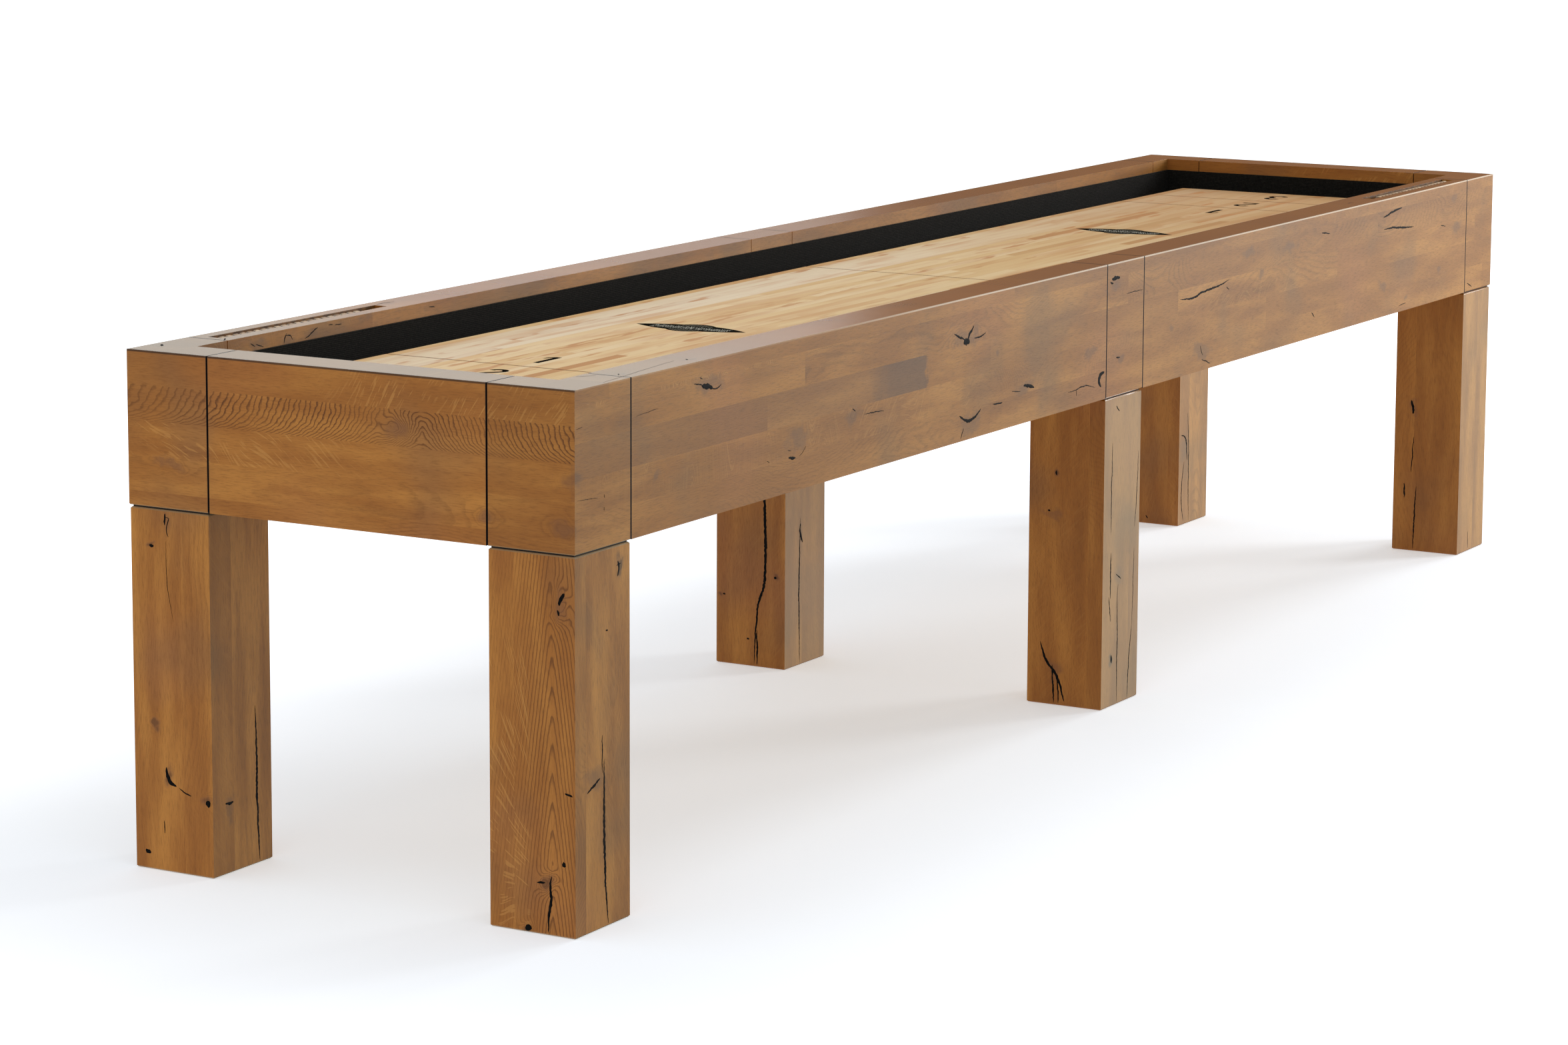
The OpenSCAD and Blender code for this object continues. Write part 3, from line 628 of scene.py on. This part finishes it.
def beads():
    """Pale turned beads on a rod along X, with painted shade where one meets the next."""
    mat, net = new_material("turned_beads")
    point = net.point()
    x = net.split(point)[0]
    grain = net.noise(net.vec("MULTIPLY", point, (1, 1, 0.3)), 90.0, 4.0, 0.6)
    turn = net.fract(net.over(net.minus(FIRST_BEAD, net.absolute(x)), BEAD_PITCH))
    # Painted shade in the gap between one bead and the next
    tip = net.smooth(net.absolute(net.minus(turn, 0.49)), 0.28, 0.40)
    shade = net.hash3(net.floor(net.over(x, BEAD_PITCH)))[0]
    colour = net.paint(
        rgb(196, 160, 118),
        (net.smooth(grain, 0.35, 0.65), rgb(232, 206, 168)),
        (net.smooth(shade, 0.2, 0.9, 0.0, 0.5), rgb(132, 92, 54)),
        (net.times(tip, 0.9), rgb(58, 36, 18)))
    net.finish({"Base Color": colour, "Roughness": net.mad(grain, 0.16, 0.28),
                "Normal": net.bump(grain, 0.0001, 0.5)})
    return mat


LENS_X = 0.8382                # the lenses' middles, along X either way


def lens_ornament():
    """Black inlay with a plain band of broken pale hatching, and fine spokes either side of it."""
    mat, net = new_material("lens_inlay")
    point = net.point()
    x, y, _ = net.split(point)
    local = net.minus(net.absolute(x), LENS_X)
    off = net.absolute(local)

    def stripes(value, pitch):
        """From 0 in the middle of each stripe to half at its edges."""
        return net.absolute(net.minus(net.fract(net.over(value, pitch)), 0.5))

    zigzag = net.mad(net.math("PINGPONG", y, 0.0075), 0.9, net.times(local, 0.35))
    band = net.times(net.smooth(off, 0.012, 0.014, 1.0, 0.0),
                     net.smooth(net.absolute(y), 0.072, 0.076, 1.0, 0.0))
    beside = net.times(net.smooth(net.length(local, y), 0.037, 0.039, 1.0, 0.0),
                       net.smooth(off, 0.018, 0.020))
    grit = net.noise(point, 420.0, 3.0)
    broken = net.smooth(net.noise(point, 150.0, 1.0), 0.46, 0.54, 0.15, 0.9)
    hatching = net.times(band, broken, net.smooth(stripes(zigzag, 0.0034), 0.20, 0.26))
    spokes = net.times(beside, net.smooth(stripes(y, 0.0055), 0.30, 0.36, 0.0, 0.7))
    colour = net.paint(
        rgb(16, 16, 13),
        (net.smooth(grit, 0.3, 0.7), rgb(32, 31, 26)),
        (hatching, rgb(196, 194, 180)),
        (spokes, rgb(150, 146, 130)))
    net.finish({"Base Color": colour, "Roughness": 0.8, "Specular IOR Level": 0.0,
                "Normal": net.bump(grit, 0.00005, 0.4)})
    return mat


# ---------------------------------------------------------------- filled cracks

# The cracks on each plane, all in mm. A plane is its axis, its place on that axis and the way it looks. Each
# crack is its greatest width and the points along it, by the other two axes.
FRONT, END, HALF_LEG = -406.4, -1828.8, 74.7
CRACKS = {
    ("y", FRONT, -1): [
        (9, [(-1476, 774), (-1457, 771), (-1443, 767)]), (2, [(-1498, 780), (-1480, 776), (-1468, 772)]),
        (2.2, [(-1446, 767), (-1432, 765), (-1418, 770)]), (1.5, [(-1482, 788), (-1473, 784)]),
        (0.9, [(-1662, 753), (-1630, 755), (-1600, 757)]),
        (5, [(-1213, 627), (-1200, 624), (-1191, 624)]), (1.2, [(-1216, 639), (-1205, 637)]),
        (1.2, [(-1180, 625), (-1168, 630), (-1158, 638)]), (1.4, [(-1280, 631), (-1272, 628)]),
        (2.5, [(-1008, 677), (-998, 672)]), (1.8, [(-968, 663), (-935, 662), (-903, 660)]),
        (0.9, [(-1824, 755), (-1808, 757)]), (0.9, [(-1824, 651), (-1795, 649), (-1766, 647)]),
        (2, [(-1750, 650), (-1750, 645)]), (2, [(-1750, 631), (-1750, 626)]),
        (4, [(-661, 757), (-640, 749), (-620, 742)]), (6, [(-590, 763), (-604, 752), (-615, 738)]),
        (12, [(-627, 737), (-615, 739), (-605, 737)]), (3, [(-589, 742), (-570, 741), (-546, 746)]),
        (1.5, [(-447, 633), (-430, 631), (-413, 629)]), (7, [(-403, 637), (-380, 633), (-362, 629)]),
        (6, [(-640, 616), (-622, 607), (-600, 603), (-580, 608), (-562, 618)]),
        (2.5, [(-624, 593), (-629, 584), (-635, 576)]), (3, [(-518, 620), (-500, 618), (-482, 618)]),
        (2.2, [(-230, 603), (-200, 603), (-170, 606), (-140, 603), (-122, 597)]),
        (2, [(-196, 603), (-196, 592)]), (9, [(-84, 621), (-101, 617), (-106, 605), (-96, 596)]),
        (8, [(-58, 785), (-40, 786), (-25, 785)]), (4, [(-64, 781), (-52, 777)]),
        (3, [(-36, 641), (-20, 640)]), (1.6, [(3, 752), (40, 753), (73, 752)]),
        (4.5, [(233, 716), (290, 713), (340, 720), (400, 723), (452, 730)]),
        (2.5, [(440, 717), (452, 711)]), (3, [(893, 776), (915, 773), (935, 771)]),
        (5, [(1212, 776), (1240, 780), (1280, 786), (1312, 787)]),
        (4.5, [(1215, 751), (1270, 750), (1330, 745), (1378, 742)]),
        (2.5, [(326, 619), (331, 609), (337, 600)]), (2.5, [(333, 592), (352, 587), (372, 580)]),
        (3, [(850, 622), (865, 611)]), (2, [(1530, 730), (1558, 726)]), (1.6, [(1305, 584), (1345, 586)]),
        (2.5, [(1690, 590), (1705, 585), (1718, 579)]),
    ],
    ("x", -1827.3, -1): [
        (3, [(339, 563), (340, 545)]),
        (1.6, [(339, 557), (332, 556), (334, 548), (337, 537), (333, 527)]),
        (0.9, [(338, 520), (338, 470), (336, 445), (331, 420), (326, 395)]),
        (5, [(370, 511), (362, 510)]), (6, [(344, 165), (343, 155), (336, 143), (325, 137)]),
        (2, [(320, 135), (310, 130), (297, 125)]), (9, [(269, 118), (260, 117)]),
        (1.5, [(350, 80), (349, 60)]), (6, [(387, 29), (377, 25)]),
        (5, [(-387, 514), (-380, 505), (-378, 495)]), (4, [(-375, 488), (-377, 480)]),
        (7, [(-388, 110), (-382, 109)]), (4, [(-364, 90), (-361, 75), (-363, 50), (-359, 30), (-357, 4)]),
        (3, [(-352, 79), (-338, 77)]), (8, [(-328, 8), (-317, 5)]), (3, [(-387, 217), (-400, 213)]),
    ],
    ("y", 255.5, -1): [
        (4.5, [(-1718, 252), (-1716, 200), (-1715, 120), (-1714, 60), (-1710, 4)]),
        (4, [(-1796, 112), (-1786, 110), (-1776, 111)]),
        (3.5, [(-18, 283), (-20, 200), (-22, 143), (-20, 72), (-18, 4)]),
        (6, [(-17, 272), (-18, 255), (-9, 235)]), (3, [(1721, 251), (1728, 172), (1730, 86), (1733, 4)]),
        (4, [(1689, 204), (1713, 193), (1722, 143)]),
        (3, [(1706, 143), (1694, 86), (1696, 43), (1706, 8)]),
    ],
    ("y", -404.9, -1): [
        (4, [(-1711, 545), (-1707, 535), (-1711, 522)]), (1.5, [(-1714, 538), (-1702, 540)]),
        (2.5, [(-1744, 447), (-1738, 446)]), (2.2, [(-1754, 292), (-1754, 235)]),
        (5, [(-1749, 255), (-1749, 180), (-1748, 120), (-1745, 60), (-1738, 4)]),
        (3.5, [(-1795, 212), (-1780, 219), (-1760, 228)]), (2.5, [(-28, 552), (-15, 541)]),
        (2.4, [(-42, 486), (-43, 400), (-43, 322)]), (3.4, [(-42, 285), (-42, 240), (-42, 200)]),
        (2.5, [(-48, 205), (-40, 158)]), (2.6, [(-10, 222), (-13, 193), (-10, 129), (-11, 72), (-10, 4)]),
        (2, [(67, 457), (64, 393), (55, 318)]), (1.6, [(55, 279), (50, 136)]),
        (2.6, [(49, 136), (40, 79), (34, 4)]), (2, [(-20, 243), (-8, 236), (2, 230)]),
        (5, [(-35, 95), (-33, 80)]), (1.4, [(1739, 43), (1742, 6)]),
    ],
    ("x", -74.7, -1): [
        (5, [(300, 540), (300, 430), (300, 322), (298, 215), (301, 158), (313, 122), (318, 79), (321, 36),
             (322, 4)]),
        (3, [(316, 70), (316, 4)]), (5, [(279, 176), (274, 174)]), (3, [(391, 133), (386, 132)]),
        (4, [(338, 52), (333, 52)]), (4.5, [(-281, 115), (-293, 83), (-310, 61), (-320, 43), (-331, 8)]),
        (3, [(-306, 74), (-308, 40), (-310, 4)]), (2.5, [(-315, 58), (-318, 30), (-319, 4)]),
        (3, [(-309, 432), (-310, 424)]), (3, [(-293, 358), (-298, 357)]),
    ],
    ("z", 812.8, 1): [
        (0.9, [(-1740, -399), (-1660, -390), (-1580, -380), (-1500, -372)]),
        (1.6, [(-1712, -334), (-1702, -342), (-1690, -354)]), (2.2, [(-1664, -378), (-1657, -373)]),
        (3, [(-1480, -384), (-1474, -378)]), (4, [(-1778, 379), (-1770, 385), (-1762, 391)]),
        (2.2, [(-1680, 334), (-1668, 342), (-1658, 349)]),
        (2.4, [(-1206, 382), (-1180, 384), (-1160, 379)]), (2.5, [(1105, -371), (1130, -374)]),
    ],
    ("y", 330.2, -1): [
        (2.2, [(-1524, 806), (-1529, 799), (-1531, 791)]),
        (1.6, [(-1526, 803), (-1514, 801), (-1508, 794)]),
        (2, [(-1440, 806), (-1452, 801), (-1462, 796), (-1476, 792)]),
        (1.4, [(-1618, 801), (-1606, 795)]), (1.4, [(-1604, 798), (-1584, 792)]),
        (1.6, [(-1412, 806), (-1400, 806)]), (1.4, [(-1394, 805), (-1376, 804)]),
        (1.6, [(-1130, 804), (-1112, 802)]),
    ],
    ("x", 1677.9, -1): [
        (5, [(-292, 329), (-297, 312), (-296, 300)]), (2, [(-300, 251), (-297, 210), (-295, 172)]),
        (3, [(-280, 147), (-281, 115)]), (2.5, [(-308, 143), (-305, 70), (-303, 4)]),
        (3, [(334, 18), (329, 12)]),
    ],
}
# Knots: (centre, radii) in mm; the rings swerve round them and the wood darkens there
RAIL_KNOTS = [((x, FRONT, z), (rx, 40, rz)) for x, z, rx, rz in (
    (-1457, 771, 48, 15), (-1188, 652, 42, 26), (-1004, 664, 24, 18), (-1604, 656, 12, 8),
    (-1828, 682, 30, 12), (-612, 746, 62, 20), (-508, 710, 11, 7), (-395, 632, 42, 12),
    (-603, 598, 46, 22), (-140, 662, 34, 14), (-40, 772, 24, 14), (-18, 638, 24, 10), (190, 669, 16, 7),
    (605, 723, 13, 9), (735, 762, 48, 14), (545, 775, 46, 12), (1600, 782, 18, 13), (1525, 633, 14, 9),
    (1215, 635, 26, 9), (1345, 600, 14, 9), (335, 608, 46, 18), (1620, 718, 32, 16))]
RAIL_KNOTS += [((x, y, 812.8), (rx, ry, 14)) for x, y, rx, ry in (
    (-1772, 386, 22, 14), (-1658, -375, 10, 7), (-1476, -380, 12, 8), (-1312, 340, 40, 14),
    (-1190, 380, 30, 12))]
RAIL_KNOTS += [((-1516, 330, 798), (24, 14, 12)), ((-1456, 330, 800), (22, 14, 10)),
               ((-1600, 330, 797), (30, 14, 12))]
RAIL_KNOTS += [((END, y, z), (40, ry, rz)) for y, z, ry, rz in (
    (-92, 728, 24, 16), (-252, 616, 24, 13), (-388, 612, 26, 16), (330, 638, 40, 9))]
LEG_KNOTS = [((x, y, z), (rx, ry, rz)) for x, y, z, rx, ry, rz in (
    (-1827, 358, 225, 20, 10, 12), (-1827, 365, 511, 20, 6, 6), (-1827, 265, 118, 14, 9, 10),
    (-1827, 338, 550, 20, 9, 26), (-1827, 340, 150, 20, 12, 20), (-1786, 256, 106, 16, 20, 30),
    (-1827, -379, 492, 20, 13, 30), (-1827, -355, 84, 20, 14, 16), (-1827, -322, 4, 20, 12, 12),
    (-1709, -405, 534, 12, 20, 18), (-1772, -405, 228, 30, 20, 22), (-75, 276, 175, 20, 9, 12),
    (-75, 389, 133, 20, 8, 7), (-75, -309, 428, 20, 8, 10), (-75, -302, 356, 20, 28, 12),
    (-75, -310, 62, 20, 18, 30), (-34, -405, 86, 12, 20, 18), (-10, -405, 236, 22, 20, 20),
    (1678, -295, 312, 20, 13, 26), (1700, 256, 170, 22, 20, 42))]


def in_metres(knots):
    return [(tuple(c * MM for c in centre), tuple(r * MM for r in size)) for centre, size in knots]


def spline(a, b, c, d, t):
    """A smooth curve's value between b and c, t of the way along."""
    square = (2 * a - 5 * b + 4 * c - d) * t * t
    cube = (3 * b - a - 3 * c + d) * t ** 3
    return 0.5 * (2 * b + (c - a) * t + square + cube)


def curve_points(points, step=3.0):
    """Points about step mm apart on a smooth line through the given ones."""
    ends = [points[0]] + points + [points[-1]]
    out = []
    for four in zip(ends, ends[1:], ends[2:], ends[3:]):
        count = max(2, int(math.dist(four[1], four[2]) / step))
        for k in range(count):
            out.append(tuple(spline(*values, k / count) for values in zip(*four)))
    return out + [points[-1]]


def add_crack(mesh, plane, width, points, rng):
    """A ragged sliver of filler, a fifth of a millimetre proud in the middle and sharp at its tips."""
    axis, value, out = plane
    line = curve_points(points)
    rows = []
    wander = 0.0
    for k, (a, b) in enumerate(line):
        before, after = line[max(k - 1, 0)], line[min(k + 1, len(line) - 1)]
        run = Vector((after[0] - before[0], after[1] - before[1])).normalized()
        side = Vector((-run.y, run.x))
        swell = math.sin(math.pi * (k + 0.25) / (len(line) - 0.5)) ** 0.6
        wander = 0.7 * wander + rng.uniform(-0.3, 0.3) * min(width, 2)
        row = []
        for reach, lift in ((-1, 0.05), (0, 0.2), (1, 0.05)):
            half = 0.5 * width * swell * rng.uniform(0.65, 1.2) * reach + wander * swell
            place = [a + side.x * half, b + side.y * half]
            place.insert("xyz".index(axis), value + out * lift)
            row.append(mesh.verts.new([c * MM for c in place]))
        rows.append(row)
    for row, following in zip(rows, rows[1:]):
        for k in (0, 1):
            mesh.faces.new((row[k], row[k + 1], following[k + 1], following[k]))


SEAMS = (77, 1676)             # in mm; no crack on a hidden rail runs up to these
# The planes the photograph hides. On the rails: how many cracks to try, and the ranges their places are drawn
# from. On the legs: the legs' middles, each of which gets one crack.
HIDDEN_RAILS = {("y", 406.4, 1): (10, -1600, 1600, 590, 790), ("x", 1828.8, 1): (4, -240, 240, 590, 790)}
LEG_XS, LEG_YS = (-LEG_PITCH, 0, LEG_PITCH), (-LEG_Y, LEG_Y)
HIDDEN_LEGS = {("y", 404.9, 1): LEG_XS, ("y", -255.5, 1): LEG_XS,
               ("x", -1677.9, 1): LEG_YS, ("x", HALF_LEG, 1): LEG_YS, ("x", 1827.3, 1): LEG_YS}


def hidden_cracks(rng):
    """Each seeded crack's plane, its width and its points."""
    for plane, (count, a0, a1, b0, b1) in HIDDEN_RAILS.items():
        for _ in range(count):
            a, b, run = rng.uniform(a0, a1), rng.uniform(b0, b1), rng.uniform(20, 130)
            if all(abs(abs(a) - seam) > run for seam in SEAMS):
                width = rng.uniform(1.5, 6)
                middle = (a + run / 2, b + rng.uniform(-5, 5))
                yield plane, width, [(a, b), middle, (a + run, b + rng.uniform(-9, 9))]
    for plane, centres in HIDDEN_LEGS.items():
        for centre in centres:
            a, b, run = centre * 1000 + rng.uniform(-50, 50), rng.uniform(8, 330), rng.uniform(60, 220)
            width = rng.uniform(1.5, 4.5)
            middle = (a + rng.uniform(-6, 6), b + run / 2)
            yield plane, width, [(a, b), middle, (a + rng.uniform(-9, 9), b + run)]


def add_fillings(material):
    """One object for the filled cracks of each plane, with seeded ones on the planes the photograph hides."""
    rng = random.Random(7)
    planes = {plane: list(cracks) for plane, cracks in CRACKS.items()}
    for plane, width, points in hidden_cracks(rng):
        planes.setdefault(plane, []).append((width, points))
    for number, (plane, cracks) in enumerate(planes.items()):
        axis, value, out = plane
        # Elsewhere than on the front the tables' widths are a little short
        widen = 1.0 if (axis, value) == ("y", FRONT) else 1.25
        mesh = bmesh.new()
        for width, points in cracks:
            add_crack(mesh, plane, width * widen, points, rng)
        k = "xyz".index(axis)
        bmesh.ops.reverse_faces(mesh, faces=[f for f in mesh.faces if f.normal[k] * out < 0])
        data = bpy.data.meshes.new(f"crack_filling_{number}")
        mesh.to_mesh(data)
        data.materials.append(material)
        piece = add_object(f"crack_filling_{number}", data)
        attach(piece, "table")


# ---------------------------------------------------------------- dressing the frame

EASED = ("side_rail", "end_rail", "corner_block", "mid_block", "leg_")
NOT_EASED = ("leg_spacers", "leg_decks", "leg_bolts", "leg_inserts")
LEG_EASE, RAIL_EASE = 0.0018, 0.0026


def ease_edges(node, width):
    """Joins the CAD faces and rounds their edges."""
    node.modifiers.new("join", "WELD").merge_threshold = 0.00001
    bevel = node.modifiers.new("ease", "BEVEL")
    bevel.width, bevel.segments, bevel.angle_limit = width, 2, math.radians(30)
    bevel.harden_normals = True


def build():
    figure, knot = figure_group(), knot_group()
    looks = {
        "oak_cabinet": oak("oak_rails", rail_frame, in_metres(RAIL_KNOTS), figure, knot),
        "oak_leg": oak("oak_legs", leg_frame, in_metres(LEG_KNOTS), figure, knot),
        "maple": maple(), "carpet_black": carpet(), "bead_wood": beads(),
        "spacer_black": speckled("dark_plate", rgb(24, 20, 17), rgb(44, 36, 29), 300, 0.7),
        "line_wood": speckled("line_wood", rgb(104, 60, 26), rgb(138, 84, 42), 120, 0.7,
                              stretch=(1, 0.1, 1), shine=0.05),
        "inlay_black": speckled("black_inlay", rgb(14, 13, 12), rgb(28, 25, 22), 240, 0.8, shine=0.0),
        "plain_timber": speckled("plain_timber", rgb(196, 158, 108), rgb(222, 190, 142), 16, 0.6,
                                 stretch=(1, 9, 9)),
        "bright_steel": speckled("bright_steel", rgb(150, 152, 154), rgb(190, 191, 192), 160, 0.30, 1.0),
        "insert_brass": speckled("insert_brass", rgb(168, 128, 58), rgb(206, 166, 88), 160, 0.35, 1.0),
        "dowel_beech": speckled("dowel_beech", rgb(206, 168, 122), rgb(226, 194, 150), 60, 0.55),
        "painted_steel": speckled("painted_steel", rgb(30, 31, 32), rgb(46, 47, 48), 240, 0.45),
        "rubber_pad": speckled("rubber_pad", rgb(20, 20, 20), rgb(38, 38, 37), 320, 0.8),
    }
    lens = lens_ornament()
    for name, node in NODES.items():
        for socket in node.material_slots:
            known = looks[socket.material.name.split(".")[0]]
            socket.material = lens if name == "lens_inlays" else known
        if name.startswith(EASED) and name not in NOT_EASED:
            ease_edges(node, LEG_EASE if name.startswith("leg_") else RAIL_EASE)
    add_fillings(speckled("black_filler", rgb(4, 4, 3), rgb(14, 12, 11), 260, 0.62, depth=0.0008, shine=0.12))


FLOOR_REACH = 60


def add_floor():
    """A pale floor that brightens to white away from the table, but only as the camera sees it."""
    mat, net = new_material("stage_floor")
    point = net.point()
    x, y, _ = net.split(point)
    past_end = net.most(net.minus(net.absolute(x), 1.83), 0.0)
    past_side = net.most(net.minus(net.absolute(y), 0.41), 0.0)
    away = net.length(past_end, past_side)
    seen = net.add("ShaderNodeLightPath", {})
    glow = net.mad(seen, net.smooth(away, 0.10, 1.6, 0.10, 0.62), 0.30)
    colour = net.paint(rgb(224, 233, 243), (net.noise(point, 3.0, 3.0), rgb(228, 237, 247)))
    net.finish({"Base Color": colour, "Roughness": 0.9, "Emission Color": WHITE, "Emission Strength": glow})
    mesh = bpy.data.meshes.new("floor")
    corners = [(a * FLOOR_REACH, b * FLOOR_REACH, 0) for a, b in ((-1, -1), (1, -1), (1, 1), (-1, 1))]
    mesh.from_pydata(corners, [], [(0, 1, 2, 3)])
    mesh.materials.append(mat)
    floor = add_object("floor", mesh)
    floor.location.z = -0.0005
    floor.visible_glossy = False


def add_world():
    """A studio: white to the camera, with a dimmer front, a window far off and a dark wall behind."""
    world = bpy.data.worlds.new("studio")
    world.use_nodes = True
    net = Net(world.node_tree)
    world.node_tree.nodes.clear()
    way = net.add("ShaderNodeTexCoord", {})
    _, sideways, height = net.split(way)
    level = net.times(net.smooth(height, 0.05, 0.60, 0.40, 0.62), net.smooth(sideways, -0.9, -0.1, 0.62, 1.0))
    window = net.vec("DOT_PRODUCT", way, (0.96, -0.28, 0.0), out=1)
    level = net.mad(net.smooth(window, 0.92, 0.99), 0.80, level)
    behind = net.vec("DOT_PRODUCT", way, (0.90, 0.43, 0.0), out=1)
    wall = net.times(net.smooth(behind, 0.60, 0.95), net.smooth(height, 0.12, 0.34, 1.0, 0.0))
    level = net.times(level, net.smooth(wall, 0.0, 1.0, 1.0, 0.06))
    seen = net.add("ShaderNodeLightPath", {})
    back = net.add("ShaderNodeBackground", {"Color": WHITE, "Strength": net.blend(seen, level, 1.0)})
    out = world.node_tree.nodes.new("ShaderNodeOutputWorld")
    world.node_tree.links.new(back, out.inputs[0])
    bpy.context.scene.world = world


bpy.context.scene.view_settings.view_transform = "Standard"
add_camera()
add_floor()
add_world()
for light, settings in LIGHTS.items():
    add_light(light, *settings)
build()
